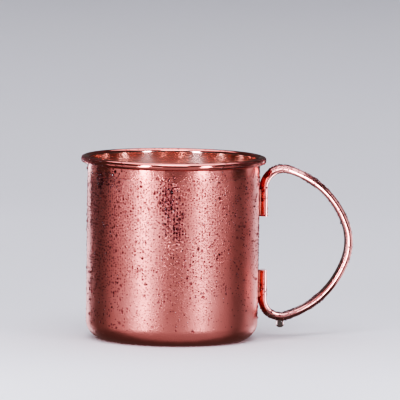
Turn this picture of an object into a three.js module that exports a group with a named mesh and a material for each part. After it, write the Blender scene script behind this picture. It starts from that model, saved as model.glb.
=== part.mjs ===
// A copper mule mug: a deep-drawn cup with an outward rolled rim, and a bent D-section handle
// whose two straight feet are brazed to the cup's wall.
// Units are millimetres, +Z is up, and the origin is the centre of the base on the surface it
// stands on. The handle lies in the XZ plane, on the +X side.
import * as THREE from 'three';

// ---- Cup ----
const cupHeight = 93.8;        // from the base to the top of the rolled rim
const cupOuterRadius = 44.0;   // outside of the straight wall
const sheetThickness = 0.7;    // one copper sheet makes the base, the wall and the rim
const baseCornerRadius = 9.0;  // outside radius where the base turns into the wall
const curlOuterRadius = 1.95;  // outside radius of the rolled rim's round section
const curlSlit = 0.4;          // slit left between the sheet's edge and the wall, under the rim

// ---- Handle ----
const handleBelowRim = 4.7;    // from the top of the rim down to the handle's highest point
const handleAboveBase = 8.6;   // from the base up to the handle's lowest point
const handleReach = 49.7;      // from the cup's wall to the handle's outermost point
const barWidth = 8.0;          // across the bar, along Y
const barThickness = 3.9;      // from the flat inner face to the crown of the bar
const barCornerRadius = 0.8;   // rounding between the flat face and the crowned side
const bendRadius = 10.0;       // centre line of the tight bend above and below
const shoulderRadius = 46.0;   // centre line of the long sweeps
const gripRadius = 26.0;       // centre line of the curve where the fingers go
const footLength = 14.4;       // straight length of each end, along the wall

// ---- Brazed joints ----
const fillerThickness = 0.3;   // filler metal where the bar comes closest to the wall
const fillerWidth = 5.2;       // across the seam, along Y
const fillerSetback = 0.6;     // the filler stops this far short of the foot's cut end
const jointGap = 0.15;         // clearance between the filler and each piece it joins

// ---- Fineness of the facets ----
const wallSegments = 72;
const curlSteps = 12;
const cornerSteps = 6;
const crownSteps = 8;
const barSteps = 70;

// Points of a round arc in a plane, from one angle to another, both ends included.
function arcPoints(centreX, centreY, radius, startAngle, endAngle, steps) {
  const points = [];
  for (let i = 0; i <= steps; i += 1) {
    const angle = startAngle + (endAngle - startAngle) * (i / steps);
    const x = centreX + radius * Math.cos(angle);
    const y = centreY + radius * Math.sin(angle);
    points.push(new THREE.Vector2(x, y));
  }
  return points;
}

function copper(color, roughness) {
  return new THREE.MeshStandardMaterial({ color, roughness, metalness: 1.0 });
}

function namedMesh(name, geometry, material) {
  const mesh = new THREE.Mesh(geometry, material);
  mesh.name = name;
  return mesh;
}

// The cup is one sheet: flat base, round corner, straight wall, and a rim rolled outwards and
// down until its edge almost meets the wall. The hollow inside the roll stays open at the slit.
function cupGeometry() {
  const curlMiddleRadius = curlOuterRadius - sheetThickness / 2;
  const curlInnerRadius = curlOuterRadius - sheetThickness;
  const wallMiddle = cupOuterRadius - sheetThickness / 2;
  const curlX = wallMiddle + curlMiddleRadius;
  const curlZ = cupHeight - curlOuterRadius;
  const cornerX = cupOuterRadius - baseCornerRadius;
  const innerCornerRadius = baseCornerRadius - sheetThickness;
  const edgeX = cupOuterRadius + curlSlit;
  const edgeAngle = -Math.acos((edgeX - curlX) / curlOuterRadius);

  const outside = [
    new THREE.Vector2(0, 0),
    ...arcPoints(cornerX, baseCornerRadius, baseCornerRadius, -Math.PI / 2, 0, cornerSteps),
    ...arcPoints(curlX, curlZ, curlInnerRadius, Math.PI, edgeAngle, curlSteps),
  ];
  const inside = [
    ...arcPoints(curlX, curlZ, curlOuterRadius, edgeAngle, Math.PI, curlSteps),
    ...arcPoints(cornerX, baseCornerRadius, innerCornerRadius, 0, -Math.PI / 2, cornerSteps),
    new THREE.Vector2(0, sheetThickness),
  ];
  const geometry = new THREE.LatheGeometry([...outside, ...inside], wallSegments);
  geometry.rotateX(Math.PI / 2);
  return geometry;
}

// A round arc in the XZ plane, as a curve that a bar can follow.
class UprightArc extends THREE.Curve {
  constructor(centreX, centreZ, radius, startAngle, endAngle) {
    super();
    Object.assign(this, { centreX, centreZ, radius, startAngle, endAngle });
  }

  getPoint(t, target = new THREE.Vector3()) {
    const angle = this.startAngle + (this.endAngle - this.startAngle) * t;
    const x = this.centreX + this.radius * Math.cos(angle);
    const z = this.centreZ + this.radius * Math.sin(angle);
    return target.set(x, 0, z);
  }
}

// Places that the handle and the filler share.
const crownX = cupOuterRadius + jointGap + fillerThickness + jointGap;
const footX = crownX + barThickness / 2;
const handleMiddle = (cupHeight - handleBelowRim + handleAboveBase) / 2;
const barTop = cupHeight - handleBelowRim - barThickness / 2;
const bendZ = barTop - bendRadius;
const footCutZ = bendZ - footLength;

// The bar's centre line: up the wall from the upper foot's cut end, round the tight bend, down
// the long shoulder, round the grip, and back the same way to the lower foot. Each shoulder is
// the arc of its radius that touches the bend's circle and the grip's circle.
function handlePath() {
  const bendX = footX + bendRadius;
  const gripX = cupOuterRadius + handleReach - barThickness / 2 - gripRadius;
  const toBend = shoulderRadius - bendRadius;
  const toGrip = shoulderRadius - gripRadius;
  const across = bendX - gripX;
  const up = bendZ - handleMiddle;
  const apart = Math.hypot(across, up);
  const along = (apart ** 2 + toGrip ** 2 - toBend ** 2) / (2 * apart);
  const aside = Math.sqrt(toGrip ** 2 - along ** 2);
  const shoulderX = gripX + (along * across - aside * up) / apart;
  const shoulderZ = handleMiddle + (along * up + aside * across) / apart;
  const bendEnd = Math.atan2(bendZ - shoulderZ, bendX - shoulderX);
  const gripStart = Math.atan2(handleMiddle - shoulderZ, gripX - shoulderX);
  const mirrorBendZ = 2 * handleMiddle - bendZ;
  const mirrorShoulderZ = 2 * handleMiddle - shoulderZ;
  const mirrorCutZ = 2 * handleMiddle - footCutZ;

  const path = new THREE.CurvePath();
  path.add(new THREE.LineCurve3(
    new THREE.Vector3(footX, 0, footCutZ),
    new THREE.Vector3(footX, 0, bendZ),
  ));
  path.add(new UprightArc(bendX, bendZ, bendRadius, Math.PI, bendEnd));
  path.add(new UprightArc(shoulderX, shoulderZ, shoulderRadius, bendEnd, gripStart));
  path.add(new UprightArc(gripX, handleMiddle, gripRadius, gripStart, -gripStart));
  path.add(new UprightArc(shoulderX, mirrorShoulderZ, shoulderRadius, -gripStart, -bendEnd));
  path.add(new UprightArc(bendX, mirrorBendZ, bendRadius, -bendEnd, -Math.PI));
  path.add(new THREE.LineCurve3(
    new THREE.Vector3(footX, 0, mirrorBendZ),
    new THREE.Vector3(footX, 0, mirrorCutZ),
  ));
  return path;
}

// How far the crowned side stands back from the crown at a distance from the bar's middle.
function crownDrop(distance) {
  const crownDepth = barThickness - barCornerRadius;
  const share = distance / (barWidth / 2);
  return crownDepth * (1 - Math.sqrt(1 - share ** 2));
}

// The bar's D section: x runs across the bar and y points to the inside of the loop.
function barSection() {
  const halfWidth = barWidth / 2;
  const halfThickness = barThickness / 2;
  const shape = new THREE.Shape();
  const cornerY = halfThickness - barCornerRadius;
  shape.moveTo(-halfWidth, cornerY);
  for (let i = 1; i <= crownSteps; i += 1) {
    const x = -halfWidth * Math.cos(Math.PI * (i / crownSteps));
    shape.lineTo(x, crownDrop(x) - halfThickness);
  }
  shape.absarc(halfWidth - barCornerRadius, cornerY, barCornerRadius, 0, Math.PI / 2);
  shape.absarc(barCornerRadius - halfWidth, cornerY, barCornerRadius, Math.PI / 2, Math.PI);
  return shape;
}

function handleGeometry() {
  return new THREE.ExtrudeGeometry(barSection(), {
    steps: barSteps,
    curveSegments: 3,
    extrudePath: handlePath(),
  });
}

// The filler lies between the wall and the crowned side of a foot, thin along the middle and
// thicker at its two edges. Its section is level and it is extruded upwards.
function fillerGeometry(lowerZ) {
  const wallSide = cupOuterRadius + jointGap;
  const halfWidth = fillerWidth / 2;
  const edgeAngle = Math.asin(halfWidth / wallSide);
  const shape = new THREE.Shape();
  shape.absarc(0, 0, wallSide, -edgeAngle, edgeAngle);
  for (let i = 0; i <= crownSteps; i += 1) {
    const y = halfWidth * (1 - 2 * (i / crownSteps));
    shape.lineTo(crownX - jointGap + crownDrop(y), y);
  }
  const geometry = new THREE.ExtrudeGeometry(shape, {
    depth: footLength - 2 * fillerSetback,
    curveSegments: crownSteps,
    bevelEnabled: false,
  });
  geometry.translate(0, 0, lowerZ + fillerSetback);
  return geometry;
}

const mug = new THREE.Group();
mug.add(namedMesh('cup_shell', cupGeometry(), copper(0xc9826e, 0.34)));
mug.add(namedMesh('handle', handleGeometry(), copper(0xc97f69, 0.16)));
mug.add(namedMesh('upper_braze_seam', fillerGeometry(footCutZ), copper(0xa8614f, 0.45)));
const lowerFootZ = 2 * handleMiddle - bendZ;
mug.add(namedMesh('lower_braze_seam', fillerGeometry(lowerFootZ), copper(0xa8614f, 0.45)));

export default mug;
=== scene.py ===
# %% [markdown]
# # A copper mug
#
# This lesson builds a drinking mug of satin rose copper: a cup drawn from one sheet with a rolled
# rim, a bent D-section handle, the two brazed joints that hold it, and the water that beads on a
# cold mug. The cup, the handle and the brazing each follow one rule, so each is a small Geometry
# Nodes tree. The water is thousands of small beads, so it is a Geometry Nodes tree too.

# %% Load the frame
import math

import bmesh
import bpy
from mathutils import Matrix, Vector


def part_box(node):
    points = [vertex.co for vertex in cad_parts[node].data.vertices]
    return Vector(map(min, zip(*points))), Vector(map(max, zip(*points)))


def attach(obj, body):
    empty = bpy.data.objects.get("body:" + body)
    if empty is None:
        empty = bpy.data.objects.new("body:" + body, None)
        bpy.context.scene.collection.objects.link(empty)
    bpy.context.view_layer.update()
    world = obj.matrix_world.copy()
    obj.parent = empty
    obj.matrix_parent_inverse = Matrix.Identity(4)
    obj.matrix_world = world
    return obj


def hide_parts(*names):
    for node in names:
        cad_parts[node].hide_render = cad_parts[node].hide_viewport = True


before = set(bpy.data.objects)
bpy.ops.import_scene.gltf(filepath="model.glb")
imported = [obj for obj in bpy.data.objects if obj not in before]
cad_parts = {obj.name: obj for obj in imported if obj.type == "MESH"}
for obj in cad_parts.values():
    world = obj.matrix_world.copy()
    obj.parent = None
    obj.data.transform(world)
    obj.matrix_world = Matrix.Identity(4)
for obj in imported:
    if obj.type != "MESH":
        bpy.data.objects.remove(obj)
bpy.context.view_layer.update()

MM = 0.001

# %% [markdown]
# ## The sizes that everything shares
#
# The frame says how high the mug is and how far its rim and handle reach. The sheet and the bar
# have sizes of their own, which a maker would read off the stock: 0.7 mm sheet, and an 8 by
# 3.9 mm half-round bar. Every other place below is worked out from these.

# %% Sizes
cup_low, cup_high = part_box("cup_shell")
handle_low, handle_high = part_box("handle")

cup_height = cup_high.z
rim_radius = cup_high.x
sheet = 0.7 * MM
curl_radius = 1.95 * MM
corner_radius = 9.0 * MM
curl_slit = 0.4 * MM

curl_middle = curl_radius - sheet / 2
curl_x = rim_radius - curl_radius
curl_z = cup_height - curl_radius
wall_radius = curl_x - curl_middle + sheet / 2

bar_width = handle_high.y - handle_low.y
bar_thickness = 3.9 * MM
bar_corner = 0.8 * MM
bend_radius = 10.0 * MM
shoulder_radius = 46.0 * MM
grip_radius = 26.0 * MM
foot_length = 14.4 * MM
foot_x = handle_low.x + bar_thickness / 2
print("wall radius, mm:", round(wall_radius / MM, 2), " foot centre, mm:", round(foot_x / MM, 2))

# %% [markdown]
# ## A helper for building node trees
#
# A Geometry Nodes tree is a list of nodes and the links between them. Typing each link in full
# hides the shape of the tree, so `Tree` keeps one short call per node: its inputs are given by
# name, and each may be a number or the output of an earlier node.

# %% Tree helper
class Tree:
    """A geometry node tree with named inputs, built one node at a time."""

    def __init__(self, name):
        self.group = bpy.data.node_groups.new(name, "GeometryNodeTree")
        self.face = self.group.interface
        self.face.new_socket("Geometry", in_out="OUTPUT", socket_type="NodeSocketGeometry")
        self.face.new_socket("Geometry", in_out="INPUT", socket_type="NodeSocketGeometry")
        self.start = self.group.nodes.new("NodeGroupInput")
        self.end = self.group.nodes.new("NodeGroupOutput")

    def ask(self, name, kind, value=None):
        """Adds a named input and returns the socket that carries it."""
        socket = self.face.new_socket(name, in_out="INPUT", socket_type="NodeSocket" + kind)
        if value is not None:
            socket.default_value = value
        return self.start.outputs[name]

    def node(self, kind, inputs=None, **settings):
        """Adds a node. Keys of inputs are socket names or numbers."""
        made = self.group.nodes.new(kind)
        for key, value in settings.items():
            setattr(made, key, value)
        for key, value in (inputs or {}).items():
            self.plug(made.inputs[key], value)
        return made

    def plug(self, socket, value):
        if isinstance(value, bpy.types.Node):
            value = value.outputs[0]
        if isinstance(value, bpy.types.NodeSocket):
            self.group.links.new(value, socket)
        else:
            socket.default_value = value

    def math(self, operation, *values):
        made = self.group.nodes.new("ShaderNodeMath")
        made.operation = operation
        for socket, value in zip(made.inputs, values):
            self.plug(socket, value)
        return made.outputs[0]

    def finish(self, mesh, material):
        """Ends the tree with real geometry and its material."""
        real = self.node("GeometryNodeRealizeInstances", {"Geometry": mesh})
        painted = self.node("GeometryNodeSetMaterial", {"Geometry": real, "Material": material})
        self.plug(self.end.inputs[0], painted)


def run_tree(name, start_mesh, tree, values):
    """Runs a tree on a mesh with the given input values and returns a plain mesh object."""
    maker = bpy.data.objects.new(name + "_maker", start_mesh)
    bpy.context.scene.collection.objects.link(maker)
    modifier = maker.modifiers.new(name, "NODES")
    modifier.node_group = tree.group
    for item in tree.group.interface.items_tree:
        if item.in_out == "INPUT" and item.name in values:
            modifier[item.identifier] = values[item.name]
    maker.update_tag()
    bpy.context.view_layer.update()
    graph = bpy.context.evaluated_depsgraph_get()
    mesh = bpy.data.meshes.new_from_object(maker.evaluated_get(graph))
    mesh.name = name
    bpy.data.objects.remove(maker)
    piece = bpy.data.objects.new(name, mesh)
    bpy.context.scene.collection.objects.link(piece)
    triangles = sum(len(face.vertices) - 2 for face in mesh.polygons)
    print(name, "has", len(mesh.vertices), "vertices and", triangles, "triangles")
    return piece


def chain_mesh(name, points, closed=False):
    """A mesh of points joined by edges, as a start for a profile, a path or a section."""
    edges = [(i, i + 1) for i in range(len(points) - 1)]
    if closed:
        edges.append((len(points) - 1, 0))
    mesh = bpy.data.meshes.new(name)
    mesh.from_pydata(points, edges, [])
    return mesh


def chain_object(name, points, closed=False):
    made = bpy.data.objects.new(name, chain_mesh(name, points, closed))
    bpy.context.scene.collection.objects.link(made)
    return made


def arc(centre_x, centre_y, radius, start, end, steps):
    """Points on a round arc, from one angle to another, both ends included."""
    points = []
    for i in range(steps + 1):
        angle = start + (end - start) * i / steps
        points.append((centre_x + radius * math.cos(angle), centre_y + radius * math.sin(angle)))
    return points

# %% [markdown]
# ## Copper
#
# Rose copper is a metal, so its colour is the colour of what it mirrors. Two finishes are on this
# mug. The cup is satin: fine blasting leaves microscopic dents that spread each reflection into a
# soft band. The rim and the handle are buffed, so they keep sharp highlights. On both, the colour
# drifts a little and fine marks break up the gloss. Colour, roughness and bump come from noise on
# Object coordinates, so nothing slides when the view turns. The brazing filler is a duller alloy,
# rough from the torch, so it has darker tones and a higher roughness.

# %% Copper materials
def new_material(name):
    material = bpy.data.materials.new(name)
    material.use_nodes = True
    nodes = material.node_tree.nodes
    nodes.clear()
    output = nodes.new("ShaderNodeOutputMaterial")
    shader = nodes.new("ShaderNodeBsdfPrincipled")
    material.node_tree.links.new(shader.outputs[0], output.inputs["Surface"])
    return material, shader


def wire(material, kind, inputs=None, **settings):
    """Adds a shader node; inputs may be numbers or outputs of earlier nodes."""
    made = material.node_tree.nodes.new(kind)
    for key, value in settings.items():
        setattr(made, key, value)
    for key, value in (inputs or {}).items():
        link_or_set(material, made.inputs[key], value)
    return made


def link_or_set(material, socket, value):
    if isinstance(value, bpy.types.NodeSocket):
        material.node_tree.links.new(value, socket)
    else:
        socket.default_value = value


def remap(material, value, low, high, new_low, new_high):
    node = wire(material, "ShaderNodeMapRange", {
        "Value": value, "From Min": low, "From Max": high, "To Min": new_low, "To Max": new_high,
    })
    return node.outputs[0]


def noise(material, place, size, detail=3.0):
    """Smooth noise whose lumps are about size across, in metres."""
    node = wire(material, "ShaderNodeTexNoise", {
        "Vector": place, "Scale": 1.0 / size, "Detail": detail,
    })
    return node.outputs[0]


def copper(name, light, dark, rough, rough_spread, grain, grain_height):
    """A copper finish: two close tones, a roughness with its spread, and a fine grain."""
    material, shader = new_material(name)
    place = wire(material, "ShaderNodeTexCoord").outputs["Object"]
    tone = remap(material, noise(material, place, 30 * MM), 0.35, 0.65, 0.0, 1.0)
    colour = wire(material, "ShaderNodeMix", {0: tone, 6: dark, 7: light}, data_type="RGBA")
    link_or_set(material, shader.inputs["Base Color"], colour.outputs[2])
    shader.inputs["Metallic"].default_value = 1.0
    gloss = noise(material, place, 6 * MM, 5.0)
    rough_low = rough - rough_spread
    rough_high = rough + rough_spread
    roughness = remap(material, gloss, 0.3, 0.7, rough_low, rough_high)
    link_or_set(material, shader.inputs["Roughness"], roughness)
    bump = wire(material, "ShaderNodeBump", {
        "Height": noise(material, place, grain, 4.0), "Distance": grain_height, "Strength": 1.0,
    })
    link_or_set(material, shader.inputs["Normal"], bump.outputs[0])
    return material, shader, place, roughness


# The sheet has two close rose tones. The bar's are paler, a painted lightening that softens the deep
# red of the copper wall mirrored in the bar.
ROSE = (0.84, 0.28, 0.24, 1.0)
ROSE_DEEP = (0.79, 0.25, 0.21, 1.0)
ROSE_PAINTED_PALE = (0.83, 0.36, 0.32, 1.0)
ROSE_PAINTED_MILKY = (0.78, 0.33, 0.29, 1.0)
FILLER = (0.46, 0.17, 0.13, 1.0)
FILLER_DULL = (0.34, 0.12, 0.09, 1.0)

satin_copper, satin_shader, satin_place, satin_rough = copper(
    "satin_copper", ROSE, ROSE_DEEP, 0.34, 0.04, 0.5 * MM, 0.004 * MM)
# The bar's paler tones are painted light: a lightening of the copper wall that the bar mirrors.
polished_copper = copper(
    "polished_copper", ROSE_PAINTED_PALE, ROSE_PAINTED_MILKY, 0.13, 0.02, 0.8 * MM, 0.001 * MM)[0]
braze_filler = copper(
    "braze_filler", FILLER, FILLER_DULL, 0.42, 0.08, 0.7 * MM, 0.02 * MM)[0]
print("finishes:", satin_copper.name, polished_copper.name, braze_filler.name)

# %% [markdown]
# The rim belongs to the cup's sheet but was buffed after it was rolled. The cup's tree stores a
# number called `buffed` on each point, 1 on the rim and 0 on the wall, and the satin material
# reads it to lower the roughness there. Both marks that the tree stores are named attributes.

# %% Buffed rim
BUFFED_ROUGHNESS = 0.1

buffed = wire(satin_copper, "ShaderNodeAttribute", attribute_name="buffed").outputs["Fac"]
rim_rough = wire(satin_copper, "ShaderNodeMix", {0: buffed, 2: satin_rough, 3: BUFFED_ROUGHNESS})
link_or_set(satin_copper, satin_shader.inputs["Roughness"], rim_rough.outputs[0])
print("the rim's roughness is", BUFFED_ROUGHNESS)

# %% [markdown]
# Inside a copper cup light goes from wall to wall, and each time the metal takes more of its blue
# and green away. The tone that suits the outside would turn the inside a flat red, so the inside
# has a paler one: painted light, which lifts the deep red that the bounces give. The cup's tree
# marks those points with a second number, `inside`.

# %% Inside of the cup
# The inside's paler tone is painted light, not a different copper.
INSIDE_PAINTED_LIGHT_TONE = (0.91, 0.60, 0.53, 1.0)

inside = wire(satin_copper, "ShaderNodeAttribute", attribute_name="inside").outputs["Fac"]
outer_tone = satin_shader.inputs["Base Color"].links[0].from_socket
tones_with_painted_inside = wire(
    satin_copper, "ShaderNodeMix", {0: inside, 6: outer_tone, 7: INSIDE_PAINTED_LIGHT_TONE}, data_type="RGBA")
link_or_set(satin_copper, satin_shader.inputs["Base Color"], tones_with_painted_inside.outputs[2])
print("the inside's tone is", INSIDE_PAINTED_LIGHT_TONE[:3])

# %% [markdown]
# A cold mug mists over before drops form. The specks are far too small to model, so they are a
# bump on the outside of the cup alone: each cell of a Voronoi texture carries one small dome, and
# they get weaker towards the base, where the metal is warmer.

# %% Mist on the wall
MIST_CELL = 0.9 * MM
MIST_HEIGHT = 0.09 * MM
MIST_THINNEST = 0.35
MIST_LOW = 5 * MM
MIST_HIGH = 60 * MM
SPECK_MIDDLE = 0.15
SPECK_EDGE = 0.4

cells = wire(satin_copper, "ShaderNodeTexVoronoi", {"Vector": satin_place, "Scale": 1.0 / MIST_CELL})
speck = remap(satin_copper, cells.outputs["Distance"], SPECK_MIDDLE, SPECK_EDGE, 1.0, 0.0)
height = wire(satin_copper, "ShaderNodeSeparateXYZ", {0: satin_place}).outputs[2]
misty = remap(satin_copper, height, MIST_LOW, MIST_HIGH, MIST_THINNEST, 1.0)
dry = wire(satin_copper, "ShaderNodeMath", {0: buffed, 1: inside}, operation="MAXIMUM").outputs[0]
damp = wire(satin_copper, "ShaderNodeMath", {0: 1.0, 1: dry}, operation="SUBTRACT").outputs[0]
amount = wire(satin_copper, "ShaderNodeMath", {0: misty, 1: damp}, operation="MULTIPLY").outputs[0]
mist_bump = wire(satin_copper, "ShaderNodeBump", {
    "Height": speck, "Strength": amount, "Distance": MIST_HEIGHT,
    "Normal": satin_shader.inputs["Normal"].links[0].from_socket,
})
link_or_set(satin_copper, satin_shader.inputs["Normal"], mist_bump.outputs[0])
print("one speck of mist in each", MIST_CELL / MM, "mm cell")

# %% [markdown]
# ## The cup
#
# A cup like this is deep drawn: a punch pushes a flat disc of sheet through a ring until it is a
# straight-sided shell, and a roller then curls its edge outwards. Everything about it is round, so
# it is one outline turned about the axis. The outline below starts under the middle of the base
# and runs up the outside of the sheet, which becomes the hollow inside of the roll. At the cut
# edge it turns, comes back round the outer side of the roll, and goes down the inside wall to the
# middle of the floor. The roll stays open at a thin slit under the rim.
#
# The tree makes a grid with one row for each point of the outline, looks up that point's radius
# and height, and turns the columns of the grid round the axis. Merging by distance closes the
# seam, and closes the poles where the outline meets the axis. It marks the points above a height
# as `buffed` and the rows past the top of the roll as `inside`.

# %% Cup outline
def cup_outline():
    corner_x = wall_radius - corner_radius
    quarter = math.pi / 2
    edge_angle = -math.acos((wall_radius + curl_slit - curl_x) / curl_radius)
    floor_steps = 5
    wall_steps = 8
    outside = [(corner_x * i / floor_steps, 0.0) for i in range(floor_steps)]
    outside += arc(corner_x, corner_radius, corner_radius, -quarter, 0.0, 14)
    for i in range(1, wall_steps):
        outside.append((wall_radius, corner_radius + (curl_z - corner_radius) * i / wall_steps))
    outside += arc(curl_x, curl_z, curl_radius - sheet, math.pi, edge_angle, 26)
    inside = arc(curl_x, curl_z, curl_radius, edge_angle, math.pi, 36)
    for i in range(1, wall_steps):
        height = curl_z + (corner_radius - curl_z) * i / wall_steps
        inside.append((wall_radius - sheet, height))
    inside += arc(corner_x, corner_radius, corner_radius - sheet, 0.0, -quarter, 14)
    inside += [(corner_x * i / floor_steps, sheet) for i in range(floor_steps - 1, -1, -1)]
    return [(x, 0.0, z) for x, z in outside + inside]


outline = cup_outline()
highest = max(point[2] for point in outline)
rim_row = next(i for i, point in enumerate(outline) if point[2] == highest)
rows_to_inside = 9
print("the cup's outline has", len(outline), "points")

# %% Lathe tree
def lathe_tree():
    tree = Tree("turn_outline")
    segments = tree.ask("Segments", "Int", 160)
    merge = tree.ask("Merge Distance", "Float", 0.01 * MM)
    buffed_above = tree.ask("Buffed Above", "Float", 1.0)
    inside_from = tree.ask("Inside From", "Int", 100000)
    material = tree.ask("Material", "Material")
    source = tree.start.outputs["Geometry"]
    count = tree.node("GeometryNodeAttributeDomainSize", {"Geometry": source}).outputs[0]
    columns = tree.math("ADD", segments, 1)
    grid = tree.node("GeometryNodeMeshGrid", {
        "Size X": 1.0, "Size Y": 1.0, "Vertices X": count, "Vertices Y": columns,
    })
    across = tree.node("ShaderNodeSeparateXYZ", {0: grid.outputs["UV Map"]})
    row = tree.math("ROUND", tree.math("MULTIPLY", across.outputs[0], tree.math("SUBTRACT", count, 1)))
    point = tree.node("GeometryNodeSampleIndex", {
        "Geometry": source, "Value": tree.node("GeometryNodeInputPosition"), "Index": row,
    }, data_type="FLOAT_VECTOR", domain="POINT")
    part = tree.node("ShaderNodeSeparateXYZ", {0: point})
    turn = tree.math("MULTIPLY", across.outputs[1], math.tau)
    x = tree.math("MULTIPLY", part.outputs[0], tree.math("COSINE", turn))
    y = tree.math("MULTIPLY", part.outputs[0], tree.math("SINE", turn))
    place = tree.node("ShaderNodeCombineXYZ", {0: x, 1: y, 2: part.outputs[2]})
    turned = tree.node("GeometryNodeSetPosition", {"Geometry": grid, "Position": place})
    closed = tree.node("GeometryNodeMergeByDistance", {"Geometry": turned, "Distance": merge})
    height = tree.node("ShaderNodeSeparateXYZ", {0: tree.node("GeometryNodeInputPosition")})
    on_rim = tree.math("GREATER_THAN", height.outputs[2], buffed_above)
    marked = tree.node("GeometryNodeStoreNamedAttribute", {
        "Geometry": closed, "Name": "buffed", "Value": on_rim,
    }, data_type="FLOAT", domain="POINT")
    inside_marked = tree.node("GeometryNodeStoreNamedAttribute", {
        "Geometry": marked, "Name": "inside", "Value": tree.math("GREATER_THAN", row, inside_from),
    }, data_type="FLOAT", domain="POINT")
    smooth = tree.node("GeometryNodeSetShadeSmooth", {"Geometry": inside_marked})
    tree.finish(smooth, material)
    return tree


def face_outwards(piece):
    """Turns all faces of a closed mesh outwards."""
    work = bmesh.new()
    work.from_mesh(piece.data)
    bmesh.ops.recalc_face_normals(work, faces=work.faces)
    work.to_mesh(piece.data)
    work.free()


lathe = lathe_tree()
cup = run_tree("cup", chain_mesh("cup_outline", outline), lathe, {
    "Segments": 192, "Buffed Above": curl_z - 1.5 * curl_radius,
    "Inside From": rim_row + rows_to_inside, "Material": satin_copper,
})
face_outwards(cup)

# %% [markdown]
# ## The handle
#
# The handle is one length of half-round bar bent in five places. Seen from the side its centre
# line is made of round arcs that run into each other: a straight foot along the wall, a tight
# bend, a long shoulder, the curve where the fingers go, and the same again in mirror image. A
# shoulder of a given radius that touches both its neighbours has its centre at a known distance
# from each of theirs, so its place follows from two circles that cross.

# %% Handle centre line
middle_z = (handle_high.z + handle_low.z) / 2
bend_z = handle_high.z - bar_thickness / 2 - bend_radius
foot_cut_z = bend_z - foot_length
bend_x = foot_x + bend_radius
grip_x = handle_high.x - bar_thickness / 2 - grip_radius


def shoulder_centre():
    to_bend = shoulder_radius - bend_radius
    to_grip = shoulder_radius - grip_radius
    across, up = bend_x - grip_x, bend_z - middle_z
    apart = math.hypot(across, up)
    along = (apart ** 2 + to_grip ** 2 - to_bend ** 2) / (2 * apart)
    aside = math.sqrt(to_grip ** 2 - along ** 2)
    x = grip_x + (along * across - aside * up) / apart
    z = middle_z + (along * up + aside * across) / apart
    return x, z


def handle_path():
    """Upper half of the centre line, then its mirror image, as points in the XZ plane."""
    sx, sz = shoulder_centre()
    bend_end = math.atan2(bend_z - sz, bend_x - sx)
    grip_start = math.atan2(middle_z - sz, grip_x - sx)
    half = [(foot_x, foot_cut_z + foot_length * i / 12) for i in range(12)]
    half += arc(bend_x, bend_z, bend_radius, math.pi, bend_end, 26)[:-1]
    half += arc(sx, sz, shoulder_radius, bend_end, grip_start, 34)[:-1]
    half += arc(grip_x, middle_z, grip_radius, grip_start, 0.0, 8)
    mirrored = [(x, 2 * middle_z - z) for x, z in reversed(half[:-1])]
    return [(x, 0.0, z) for x, z in half + mirrored]


path_points = handle_path()
path_length = sum(math.dist(a, b) for a, b in zip(path_points, path_points[1:]))
print("the handle's bar is", round(path_length / MM, 1), "mm long")

# %% [markdown]
# The section is half round: a flat face on the inside of the loop and a crowned side outside, so
# the bar is comfortable to hold. The tree sweeps the section along the path with Curve to Mesh,
# and can push the surface about by a slight ripple, which the handle leaves at zero.

# %% Handle section and sweep tree
def bar_section():
    """The D section: x towards the inside of the loop, y across the bar."""
    half_width = bar_width / 2
    inner = bar_thickness / 2 - bar_corner
    crown_depth = bar_thickness - bar_corner
    points = []
    steps = 22
    for i in range(steps + 1):
        angle = math.pi * i / steps
        points.append((inner - crown_depth * math.sin(angle), -half_width * math.cos(angle)))
    corner_y = half_width - bar_corner
    points += arc(inner, corner_y, bar_corner, math.pi / 2, 0.0, 6)[1:]
    points += arc(inner, -corner_y, bar_corner, 0.0, -math.pi / 2, 6)[:-1]
    return [(x, y, 0.0) for x, y in points]


def sweep_tree():
    tree = Tree("sweep_section")
    section = tree.ask("Section", "Object")
    ripple = tree.ask("Ripple", "Float", 0.0)
    ripple_size = tree.ask("Ripple Size", "Float", 3 * MM)
    material = tree.ask("Material", "Material")
    path = tree.node("GeometryNodeMeshToCurve", {"Mesh": tree.start.outputs["Geometry"]})
    shape = tree.node("GeometryNodeObjectInfo", {"Object": section}).outputs["Geometry"]
    profile = tree.node("GeometryNodeMeshToCurve", {"Mesh": shape})
    swept = tree.node("GeometryNodeCurveToMesh", {
        "Curve": path, "Profile Curve": profile, "Fill Caps": True,
    })
    lump = tree.node("ShaderNodeTexNoise", {
        "Scale": tree.math("DIVIDE", 1.0, ripple_size), "Detail": 2.0,
    })
    centred = tree.node("ShaderNodeVectorMath", {
        0: lump.outputs["Color"], 1: (0.5, 0.5, 0.5),
    }, operation="SUBTRACT")
    push = tree.node("ShaderNodeVectorMath", {0: centred, "Scale": ripple}, operation="SCALE")
    rippled = tree.node("GeometryNodeSetPosition", {"Geometry": swept, "Offset": push})
    smooth = tree.node("GeometryNodeSetShadeSmooth", {"Geometry": rippled})
    tree.finish(smooth, material)
    return tree


sweep = sweep_tree()
section_object = chain_object("bar_section", bar_section(), closed=True)
handle = run_tree("handle_bar", chain_mesh("handle_path", path_points), sweep, {
    "Section": section_object, "Material": polished_copper,
})
face_outwards(handle)

# %% [markdown]
# ## The brazed joints
#
# The crowned side of each foot touches the wall along one line, which leaves a narrow wedge on
# each side of it. Brazing melts a softer alloy into both wedges, and surface tension pulls its
# free edges into a hollow curve. The filler's section is that shape, swept up the length of the
# foot by the same tree as the handle, with a slight ripple because molten metal never freezes
# perfectly straight.

# %% Brazed joints
filler_width = 5.2 * MM
filler_setback = 0.6 * MM
filler_hollow = 0.35 * MM
filler_bite = 0.05 * MM
filler_ripple = 0.12 * MM


def crown_drop(y):
    """How far the bar's crowned side stands back from its crown at y across the bar."""
    share = y / (bar_width / 2)
    return (bar_thickness - bar_corner) * (1 - math.sqrt(1 - share ** 2))


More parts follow.
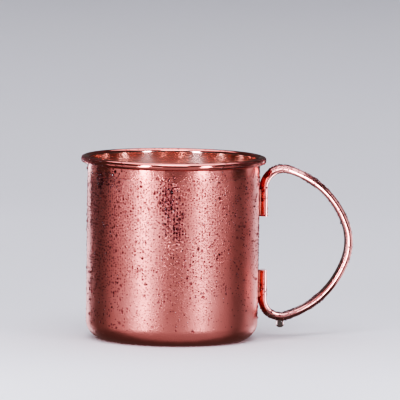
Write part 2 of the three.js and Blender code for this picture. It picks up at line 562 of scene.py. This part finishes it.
def filler_section():
    """The filler's level section, with x outwards from the cup's axis and y across."""
    half = filler_width / 2
    steps = 12
    wall_side = []
    bar_side = []
    for i in range(steps + 1):
        y = -half + filler_width * i / steps
        wall_side.append((math.sqrt(wall_radius ** 2 - y ** 2) - filler_bite, y))
        bar_side.append((handle_low.x + crown_drop(y) + filler_bite, y))
    left_x = (wall_side[0][0] + bar_side[0][0]) / 2
    hollow = [(left_x, -half + filler_hollow)]
    points = wall_side + [(left_x, half - filler_hollow)] + bar_side[::-1] + hollow
    return [(x - foot_x, y, 0.0) for x, y in points]


def filler_path(low_z):
    """A short upright line beside one foot, from low_z up."""
    steps = 24
    length = foot_length - 2 * filler_setback
    start = low_z + filler_setback
    return [(foot_x, 0.0, start + length * i / steps) for i in range(steps + 1)]


filler_shape = chain_object("filler_section", filler_section(), closed=True)
upper_foot_low = foot_cut_z
lower_foot_low = 2 * middle_z - bend_z
braze = {}
for which, low_z in (("upper", upper_foot_low), ("lower", lower_foot_low)):
    name = which + "_braze"
    braze[which] = run_tree(name, chain_mesh(name + "_path", filler_path(low_z)), sweep, {
        "Section": filler_shape, "Ripple": filler_ripple, "Material": braze_filler,
    })
    face_outwards(braze[which])

bpy.data.objects.remove(section_object)
bpy.data.objects.remove(filler_shape)

# %% [markdown]
# ## Water
#
# A mug of ice draws water out of the air. It settles as thousands of small beads, each a low dome
# held by surface tension, crowded where the metal is coldest and thinner towards the base. Water
# bends light by 1.33, so each bead shows a dark edge and a bright point, and that is what reads
# as wet. In a dark bar the beads are darker than the metal, because they bend the dark room into
# view. This studio is pale, so the beads carry painted shade instead: a dark tint in the water,
# most in the smallest beads. The drop under the handle carries a painted reflection of the
# copper, a copper tint in its water.

# %% Water material
# Clear water has no colour of its own, so every tint here is painted: painted shade in the beads, a
# painted copper reflection in the hanging drop.
def water_with_painted_tint(name, painted_tint):
    material, shader = new_material(name)
    shader.inputs["Base Color"].default_value = (*painted_tint, 1.0)
    shader.inputs["Roughness"].default_value = 0.02
    shader.inputs["IOR"].default_value = 1.333
    shader.inputs["Transmission Weight"].default_value = 1.0
    return material


# Copper tint: painted reflection of the mug. Grey-violet tints: painted shade, darkest in the fine
# beads.
drop_water_painted_reflection = water_with_painted_tint("drop_water_painted_reflection", (0.95, 0.74, 0.70))
water = water_with_painted_tint("water", (0.52, 0.43, 0.47))
fine_water_painted_shade = water_with_painted_tint("fine_water_painted_shade", (0.36, 0.28, 0.32))
print("water finishes:", drop_water_painted_reflection.name, water.name, fine_water_painted_shade.name)

# %% [markdown]
# Surface tension pulls a small drop into a dome, wider than it is tall. A dome with few faces
# serves for the finest beads and one with more for the rest, because there are thousands of them
# and each copy has to be cheap. The closed foot lies just under the metal, so no gap shows.

# %% Bead shapes
def bead_mesh(name, sides, rings, height):
    """A dome of radius 1 whose flat foot lies just under the surface it sits on."""
    sunk = -0.15
    points = [(0.0, 0.0, height)]
    faces = []
    for ring in range(1, rings + 1):
        slope = math.pi / 2 * ring / rings
        level = height * math.cos(slope) if ring < rings else sunk
        for side in range(sides):
            turn = math.tau * side / sides
            radius = math.sin(slope)
            points.append((radius * math.cos(turn), radius * math.sin(turn), level))
    for side in range(sides):
        beside = (side + 1) % sides
        faces.append((0, 1 + side, 1 + beside))
        for ring in range(rings - 1):
            a = 1 + ring * sides
            faces.append((a + side, a + sides + side, a + sides + beside, a + beside))
    foot = 1 + (rings - 1) * sides
    faces.append(tuple(foot + side for side in reversed(range(sides))))
    mesh = bpy.data.meshes.new(name)
    mesh.from_pydata(points, [], faces)
    for face in mesh.polygons:
        face.use_smooth = len(face.vertices) < 5
    made = bpy.data.objects.new(name, mesh)
    bpy.context.scene.collection.objects.link(made)
    return made


fine_bead = bead_mesh("fine_bead", 8, 2, 0.8)
full_bead = bead_mesh("full_bead", 12, 3, 0.75)
print("faces in a bead:", len(fine_bead.data.polygons), "and", len(full_bead.data.polygons))

# %% [markdown]
# The beads are scattered on the finished metal. Points are spread over its faces, never closer
# together than a set distance, and thinned by a density that grows with height, breaks into
# clumps by noise, and peaks at chosen spots where the beads have run together. Points inside the
# hollow roll or on the inside of the cup are left out. Each bead then takes a random size and a
# random turn about the surface's normal. The seed is fixed, so the mug is wet in the same places
# every time.

# %% Scatter tree
MOST_POINTS = 4.0e6
SMALL_BIAS = 2.2
CROWD_GROWTH = 0.45
SQUEEZE_LEAST = (0.8, 0.8, 0.75)
SQUEEZE_MOST = (1.15, 1.15, 1.15)


def scatter_tree(name, spots, dry_arcs=()):
    """Beads on a surface. spots are ((x, y, z), reach) places with more beads.

    dry_arcs are arcs with fewer: the middle, the half width, and the share of beads that stay."""
    tree = Tree(name)
    bead = tree.ask("Bead", "Object")
    spacing = tree.ask("Spacing", "Float", 1.2 * MM)
    low_z = tree.ask("Wet From", "Float", 0.0)
    high_z = tree.ask("Fully Wet At", "Float", 0.05)
    least = tree.ask("Least Wet", "Float", 0.1)
    clump = tree.ask("Clump Size", "Float", 9 * MM)
    clump_low = tree.ask("Clump From", "Float", 0.35)
    clump_high = tree.ask("Clump To", "Float", 0.6)
    inner = tree.ask("Inner Radius", "Float", 0.0)
    top_z = tree.ask("Top", "Float", 1.0)
    hollow_radius = tree.ask("Hollow Radius", "Float", 0.0)
    smallest = tree.ask("Smallest", "Float", 0.2 * MM)
    largest = tree.ask("Largest", "Float", 0.5 * MM)
    stretch = tree.ask("Stretch", "Float", 1.0)
    turn_range = tree.ask("Turn Range", "Float", math.tau)
    seed = tree.ask("Seed", "Int", 1)
    material = tree.ask("Material", "Material")

    place = tree.node("GeometryNodeInputPosition").outputs[0]
    part = tree.node("ShaderNodeSeparateXYZ", {0: place})
    radius = tree.node("ShaderNodeVectorMath", {
        0: tree.node("ShaderNodeCombineXYZ", {0: part.outputs[0], 1: part.outputs[1]}),
    }, operation="LENGTH").outputs["Value"]
    by_height = tree.node("ShaderNodeMapRange", {
        "Value": part.outputs[2], "From Min": low_z, "From Max": high_z, "To Min": least,
    }, interpolation_type="SMOOTHSTEP").outputs[0]
    lumps = tree.node("ShaderNodeTexNoise", {
        "Scale": tree.math("DIVIDE", 1.0, clump), "Detail": 2.0,
    }).outputs[0]
    by_clump = tree.node("ShaderNodeMapRange", {
        "Value": lumps, "From Min": clump_low, "From Max": clump_high,
    }, interpolation_type="SMOOTHSTEP").outputs[0]
    density = tree.math("MULTIPLY", by_height, by_clump)
    near = 0.0
    for centre, reach in spots:
        away = tree.node("ShaderNodeVectorMath", {0: place, 1: centre}, operation="DISTANCE")
        closeness = tree.node("ShaderNodeMapRange", {
            "Value": away.outputs["Value"], "From Min": reach * 0.4, "From Max": reach,
            "To Min": 1.0, "To Max": 0.0,
        }, interpolation_type="SMOOTHSTEP").outputs[0]
        near = tree.math("MAXIMUM", near, closeness)
    density = tree.math("MAXIMUM", density, near)
    bearing = tree.math("ARCTAN2", part.outputs[1], part.outputs[0])
    for middle, half_width, share in dry_arcs:
        off = tree.math("WRAP", tree.math("SUBTRACT", bearing, middle), math.pi, -math.pi)
        wet = tree.node("ShaderNodeMapRange", {
            "Value": tree.math("ABSOLUTE", off), "From Min": half_width * 0.8,
            "From Max": half_width * 1.3, "To Min": share,
        }, interpolation_type="SMOOTHSTEP").outputs[0]
        density = tree.math("MULTIPLY", density, wet)
    outside = tree.math("GREATER_THAN", radius, inner)
    below = tree.math("LESS_THAN", part.outputs[2], top_z)
    above = tree.math("GREATER_THAN", part.outputs[2], low_z)
    chosen = tree.math("MULTIPLY", tree.math("MULTIPLY", outside, below), above)
    from_roll = tree.node("ShaderNodeVectorMath", {
        0: tree.node("ShaderNodeCombineXYZ", {0: radius, 1: part.outputs[2]}),
        1: (curl_x, curl_z, 0.0),
    }, operation="DISTANCE").outputs["Value"]
    chosen = tree.math("MULTIPLY", chosen, tree.math("GREATER_THAN", from_roll, hollow_radius))
    spread = tree.node("GeometryNodeDistributePointsOnFaces", {
        "Mesh": tree.start.outputs["Geometry"], "Selection": chosen,
        "Distance Min": spacing, "Density Max": MOST_POINTS, "Density Factor": density, "Seed": seed,
    }, distribute_method="POISSON")
    size_share = tree.node("FunctionNodeRandomValue", {"Seed": seed}, data_type="FLOAT").outputs[1]
    size_curve = tree.math("POWER", size_share, SMALL_BIAS)
    size = tree.node("ShaderNodeMapRange", {
        "Value": size_curve, "To Min": smallest, "To Max": largest,
    }).outputs[0]
    growth = tree.math("ADD", 1.0, tree.math("MULTIPLY", near, CROWD_GROWTH))
    size = tree.math("MULTIPLY", size, growth)
    squeeze = tree.node("FunctionNodeRandomValue", {
        "Min": SQUEEZE_LEAST, "Max": SQUEEZE_MOST, "Seed": tree.math("ADD", seed, 7),
    }, data_type="FLOAT_VECTOR").outputs[0]
    longer = tree.node("ShaderNodeCombineXYZ", {0: 1.0, 1: stretch, 2: 1.0})
    shaped = tree.node("ShaderNodeVectorMath", {0: squeeze, 1: longer}, operation="MULTIPLY")
    scale = tree.node("ShaderNodeVectorMath", {0: shaped, "Scale": size}, operation="SCALE")
    upright = tree.node("FunctionNodeAlignRotationToVector", {
        "Rotation": spread.outputs["Rotation"], "Vector": (0.0, 0.0, 1.0),
    }, axis="Y", pivot_axis="Z")
    half_turn = tree.math("DIVIDE", turn_range, 2.0)
    turn = tree.node("FunctionNodeRandomValue", {
        "Min": tree.math("MULTIPLY", half_turn, -1.0), "Max": half_turn,
        "Seed": tree.math("ADD", seed, 3),
    }, data_type="FLOAT").outputs[1]
    shape = tree.node("GeometryNodeObjectInfo", {"Object": bead}).outputs["Geometry"]
    beads = tree.node("GeometryNodeInstanceOnPoints", {
        "Points": spread.outputs["Points"], "Instance": shape,
        "Rotation": upright, "Scale": scale,
    })
    spin = tree.node("ShaderNodeCombineXYZ", {2: turn})
    spun = tree.node("GeometryNodeRotateInstances", {"Instances": beads, "Rotation": spin})
    tree.finish(spun, material)
    return tree


# %% [markdown]
# The camera looks a little from the left of the handle's own side view, so places on the wall
# that it faces are named by their angle from that direction.

# %% Camera direction
camera_turn = math.radians(-98.8)


def on_wall(angle_degrees, height):
    """A point on the wall, at an angle to the right of the camera's direction."""
    turn = camera_turn + math.radians(angle_degrees)
    return (wall_radius * math.cos(turn), wall_radius * math.sin(turn), height)


print("the camera stands at", round(math.degrees(camera_turn), 1), "degrees")

# %% [markdown]
# The wall carries five layers. Two layers of fine beads cover it, dense near the rim and sparse
# near the base. Full beads stand between them, and pooled beads crowd at the chosen spots alone.
# Last come a few long beads that have started to run, stretched up and down the wall. Two arcs of
# the wall stay drier.

# %% Beads on the wall
crowded = [
    (on_wall(-3, 77 * MM), 9 * MM),
    (on_wall(-1, 67 * MM), 9 * MM),
    (on_wall(3, 58 * MM), 6 * MM),
    (on_wall(-58, 83 * MM), 6 * MM),
    (on_wall(-47, 85 * MM), 6 * MM),
    (on_wall(-37, 86 * MM), 6 * MM),
]
wall_wet = {
    "Wet From": 5 * MM, "Fully Wet At": 62 * MM, "Inner Radius": wall_radius - 0.05 * MM,
    "Top": curl_z - 1.4 * curl_radius, "Material": water,
}
drier = [
    (camera_turn + math.radians(62), math.radians(26), 0.3),
    (camera_turn - math.radians(84), math.radians(11), 0.2),
]
wall_beads = scatter_tree("beads_on_wall", crowded, drier)
fine_on_wall = {}
for name, seed in (("fine_beads_first", 4), ("fine_beads_second", 17)):
    fine_on_wall[name] = run_tree(name, cup.data.copy(), wall_beads, {
        **wall_wet, "Bead": fine_bead, "Spacing": 1.35 * MM, "Least Wet": 0.15,
        "Smallest": 0.25 * MM, "Largest": 0.46 * MM, "Clump From": 0.2, "Clump To": 0.42,
        "Seed": seed, "Material": fine_water_painted_shade,
    })
full_on_wall = run_tree("full_beads_on_wall", cup.data.copy(), wall_beads, {
    **wall_wet, "Bead": full_bead, "Spacing": 2.1 * MM, "Least Wet": 0.2,
    "Smallest": 0.4 * MM, "Largest": 0.9 * MM, "Clump From": 0.38, "Clump To": 0.6, "Seed": 11,
})
# Noise never reaches 2, so with these limits only the chosen spots are wet.
spots_alone = {"Clump From": 2.0, "Clump To": 3.0}
pooled_on_wall = run_tree("pooled_beads_on_wall", cup.data.copy(), wall_beads, {
    **wall_wet, **spots_alone, "Bead": full_bead, "Spacing": 1.5 * MM,
    "Smallest": 0.45 * MM, "Largest": 0.85 * MM, "Seed": 8,
})
runs_on_wall = run_tree("runs_on_wall", cup.data.copy(), wall_beads, {
    **wall_wet, "Bead": full_bead, "Spacing": 8.5 * MM, "Least Wet": 0.45,
    "Smallest": 0.35 * MM, "Largest": 0.6 * MM, "Clump From": 0.42, "Clump To": 0.5,
    "Stretch": 2.4, "Turn Range": 0.9, "Seed": 52,
})

# %% [markdown]
# The rim is the coldest, most exposed edge, so beads sit on its outer side as well. The part
# that faces the camera stays dry, where the drinker's lip or a cloth has been.

# %% Beads on the rim
front_arc = (camera_turn, math.radians(30), 0.0)
rim_beads = scatter_tree("beads_on_rim", [], [front_arc])
on_rim = run_tree("beads_on_rim", cup.data.copy(), rim_beads, {
    "Bead": full_bead, "Spacing": 0.75 * MM, "Wet From": curl_z - 0.7 * curl_radius,
    "Fully Wet At": curl_z, "Least Wet": 0.9, "Inner Radius": wall_radius - 0.2 * MM,
    "Top": cup_height - 0.35 * MM, "Hollow Radius": curl_radius - sheet / 2,
    "Clump Size": 14 * MM, "Clump From": 0.3, "Clump To": 0.5,
    "Smallest": 0.25 * MM, "Largest": 0.55 * MM, "Seed": 21, "Material": water,
})

# %% [markdown]
# On the bar the water gathers at the bends and near the feet, where a hand leaves it alone. Spots
# are named by how far along the bar they are.

# %% Beads on the handle
def along_bar(share):
    """The point at a share of the way along the handle's centre line, from the upper foot."""
    return path_points[round(share * (len(path_points) - 1))]


handle_spots = [
    (along_bar(0.06), 7 * MM), (along_bar(0.2), 9 * MM), (along_bar(0.3), 8 * MM),
    (along_bar(0.68), 8 * MM), (along_bar(0.75), 9 * MM), (along_bar(0.83), 9 * MM),
    (along_bar(0.95), 7 * MM),
]
handle_beads = scatter_tree("beads_on_handle", handle_spots)
on_handle = run_tree("beads_on_handle", handle.data.copy(), handle_beads, {
    "Bead": full_bead, "Spacing": 1.0 * MM, "Wet From": -0.001, "Fully Wet At": 0.1,
    "Least Wet": 0.3, "Clump Size": 11 * MM, "Smallest": 0.22 * MM, "Largest": 0.5 * MM,
    "Clump From": 0.45, "Clump To": 0.65, "Seed": 31, "Material": water,
})
bpy.data.objects.remove(fine_bead)
bpy.data.objects.remove(full_bead)

# %% [markdown]
# Water runs down the bar and gathers under its lowest point until it is heavy enough to fall. The
# hanging drop is round, so the cup's tree turns its outline too: a neck that meets the metal, a
# belly, and a rounded bottom.

# %% Hanging drop
drop_radius = 2.35 * MM
drop_length = 4.0 * MM
neck_share = 0.55
drop_overlap = 0.45 * MM
drop_shift = Vector((-0.4 * MM, -0.6 * MM, 0.0))


def drop_outline():
    """From the lowest point up: a round belly that narrows a little to a wide neck."""
    middle = drop_radius * 0.98
    points = arc(0.0, middle, drop_radius, -math.pi / 2, 0.35, 14)
    points[0] = (0.0, points[0][1])
    top_x, top_z = points[-1]
    for i in range(1, 7):
        share = i / 6
        ease = share * share * (3 - 2 * share)
        x = top_x + (neck_share * drop_radius - top_x) * ease
        points.append((x, top_z + (drop_length - top_z) * share))
    points.append((0.0, drop_length))
    return [(x, 0.0, z) for x, z in points]


hanging_drop = run_tree("hanging_drop", chain_mesh("drop_outline", drop_outline()), lathe, {
    "Segments": 32, "Material": drop_water_painted_reflection,
})
drop_low = handle_low.z + drop_overlap - drop_length
hanging_drop.data.transform(Matrix.Translation(Vector((bend_x, 0.0, drop_low)) + drop_shift))
face_outwards(hanging_drop)

# %% [markdown]
# ## Floor, light and camera
#
# Metal has no look of its own: it shows the room. The studio here is a plain pale floor that
# curves up into a wall all round, like a paper sweep, so no edge shows from any side. It is one
# more outline turned about the axis. The sweep is left out of mirror rays and of light through
# the water, as if black cards stood just out of sight: a pale floor mirrored in the cup would wash
# its dark bands out. It casts no shadow, because some of the lamps reach below it. The room is
# nearly dark, and a high contrast view keeps the copper's darks rich.

# %% Floor and room
def plain(name, colour, rough):
    material, shader = new_material(name)
    shader.inputs["Base Color"].default_value = (*colour, 1.0)
    shader.inputs["Roughness"].default_value = rough
    return material


floor_radius = 3.4
cove_radius = 0.9
wall_height = 3.6
room_brightness = 0.1
sweep_outline = [(0.0, 0.0), (floor_radius / 2, 0.0)]
sweep_outline += arc(floor_radius, cove_radius, cove_radius, -math.pi / 2, 0.0, 12)
sweep_outline.append((floor_radius + cove_radius, wall_height))
sweep_points = [(x, 0.0, z) for x, z in sweep_outline]
paper = run_tree("paper_sweep", chain_mesh("sweep_outline", sweep_points), lathe, {
    "Segments": 96, "Material": plain("paper", (0.72, 0.72, 0.72), 0.7),
})
paper.visible_glossy = False
paper.visible_transmission = False
paper.visible_shadow = False

world = bpy.data.worlds.new("dim_room")
bpy.context.scene.world = world
world.use_nodes = True
room = world.node_tree.nodes["Background"]
room.inputs["Color"].default_value = (1.0, 1.0, 1.0, 1.0)
room.inputs["Strength"].default_value = room_brightness
bpy.context.scene.view_settings.view_transform = "AgX"
bpy.context.scene.view_settings.look = "AgX - High Contrast"

# %% [markdown]
# The two pale bands on the wall are mirror images of two tall, narrow soft boxes, the keys, one on
# each side of the camera. A wide, weak box round each key, its spill, makes the band fade at its
# edges. A small box nearer to the mug and higher, the near box, brightens the top of the band. A
# weak fill stands beside the camera, soft boxes stand at both sides, and edge boxes behind draw
# the line of light along each side of the cup.
#
# The camera looks down, so the upright wall mirrors what lies below the horizon. The boxes reach
# below floor level for that reason. A ceiling panel lights the floor and the inside, a box high
# in front shines on the rim, and a glow from below lifts the base corner.

# %% Soft boxes
cool_white = (0.96, 0.95, 1.09)


def soft_box(name, angle, spread, bottom, top, brightness, distance=0.7):
    """An upright soft box, at an angle to the right of the camera's direction.

    spread is the angle it covers as seen from the mug, and brightness its radiance."""
    width = 2 * distance * math.tan(math.radians(spread) / 2)
    turn = camera_turn + math.radians(angle)
    middle = (bottom + top) / 2
    place = Vector((distance * math.cos(turn), distance * math.sin(turn), middle))
    return panel(name, place, Vector((0, 0, middle)), width, top - bottom, brightness)


def panel(name, place, aim_at, width, height, brightness):
    light = bpy.data.lights.new(name, "AREA")
    light.shape = "RECTANGLE"
    light.size = width
    light.size_y = height
    light.color = cool_white
    light.energy = brightness * math.pi * width * height
    made = bpy.data.objects.new(name, light)
    made.location = place
    made.rotation_euler = (aim_at - place).to_track_quat("-Z", "Y").to_euler()
    made.visible_camera = False
    bpy.context.scene.collection.objects.link(made)
    return made


# name, angle, spread, bottom, top, brightness, and distance where it isn't the usual one
boxes = (
    ("left_key", -38, 11, -0.13, 0.1, 7.6),
    ("left_key_spill", -37, 48, -0.13, 0.1, 0.9),
    ("left_key_near", -33, 10, 0.1, 0.25, 22.0, 0.35),
    ("right_key", 38, 11, -0.13, 0.1, 5.2),
    ("right_key_spill", 40, 44, -0.13, 0.1, 0.65),
    ("right_key_near", 40, 10, 0.1, 0.25, 14.0, 0.35),
    ("front_fill", 2, 34, -0.25, 0.1, 0.18),
    ("left_soft", -76, 28, -0.25, 0.1, 0.5),
    ("right_soft", 72, 24, -0.25, 0.1, 0.34),
    ("left_edge", -152, 14, -0.25, 0.1, 2.6),
    ("left_edge_spill", -132, 20, -0.25, 0.1, 0.2),
    ("right_edge", 147, 12, -0.25, 0.1, 2.2),
    ("right_edge_spill", 126, 26, -0.25, 0.1, 0.6),
)
for row in boxes:
    soft_box(*row)
ahead = Vector((math.cos(camera_turn), math.sin(camera_turn), 0))
mug_foot = Vector((0, 0, 0))
panel("top_box", ahead * 0.7 + Vector((0, 0, 1.0)), mug_foot, 0.6, 0.5, 4.0)
panel("floor_glow", ahead * 0.3 - Vector((0, 0, 0.06)), ahead * 0.3, 0.4, 0.5, 0.3)
panel("ceiling", Vector((0, 0, 3.2)), mug_foot, 5.0, 5.0, 1.8)
print(len(boxes), "soft boxes and 3 panels")

# %% [markdown]
# The buffed bar needs a hard white line down its side, which would be too strong on the satin
# wall. A photographer would put a snoot on a small lamp so that it falls on the handle alone.
# Light linking does the same: the lamp lights only what is in its collection.

# %% Lamps for the handle alone
on_handle_only = bpy.data.collections.new("lit_by_snoots")
on_handle_only.objects.link(handle)
snoots = [
    soft_box("side_snoot", 44, 16, -0.4, 0.5, 12.0),
    soft_box("front_snoot", -20, 30, -0.4, 0.5, 1.6),
    soft_box("flank_snoot", 18, 18, -0.4, 0.5, 0.4),
    soft_box("rear_snoot", 106, 30, -0.4, 0.5, 0.9),
    soft_box("back_snoot", 166, 34, -0.4, 0.5, 0.6),
    panel("high_snoot", ahead * 0.5 + Vector((0.35, 0, 0.55)), Vector((0.06, 0, 0.05)),
          0.2, 0.2, 12.0),
]
for lamp in snoots:
    lamp.light_linking.receiver_collection = on_handle_only
print(len(snoots), "lamps light the handle alone")

# %% [markdown]
# A long lens from far away keeps the cup's sides nearly parallel. The camera looks down a little,
# so that the rim shows as a thin ellipse, and it is rolled by less than a degree, as a camera
# held by hand is seldom quite level.

# %% Camera
lens = 456.4
aim_right = 13.67 * MM
aim_up = 71.12 * MM
camera_distance = 2.595
look_down = math.radians(5.52)
camera_roll = math.radians(0.757)

sensor = bpy.data.cameras.new("camera")
sensor.lens = lens
sensor.sensor_width = 36.0
sensor.clip_start = 0.05
camera = bpy.data.objects.new("camera", sensor)
bpy.context.scene.collection.objects.link(camera)
right = Vector((-math.sin(camera_turn), math.cos(camera_turn), 0))
back = Vector((
    math.cos(camera_turn) * math.cos(look_down),
    math.sin(camera_turn) * math.cos(look_down),
    math.sin(look_down),
))
aim = right * aim_right + Vector((0, 0, aim_up))
up = back.cross(right)
turned_right = right * math.cos(camera_roll) + up * math.sin(camera_roll)
turned_up = up * math.cos(camera_roll) - right * math.sin(camera_roll)
axes = Matrix((turned_right, turned_up, back)).transposed().to_4x4()
camera.matrix_world = Matrix.Translation(aim + back * camera_distance) @ axes
bpy.context.scene.camera = camera
print("the camera is", camera_distance, "m from the point that it looks at")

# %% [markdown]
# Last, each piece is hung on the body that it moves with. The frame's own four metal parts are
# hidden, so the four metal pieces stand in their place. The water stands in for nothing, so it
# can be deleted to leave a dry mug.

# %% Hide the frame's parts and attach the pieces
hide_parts("cup_shell")
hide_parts("handle")
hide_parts("upper_braze_seam")
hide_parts("lower_braze_seam")
wet = [
    *fine_on_wall.values(), full_on_wall, pooled_on_wall, runs_on_wall,
    on_rim, on_handle, hanging_drop,
]
for piece in [cup, handle, *braze.values(), *wet]:
    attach(piece, "root")
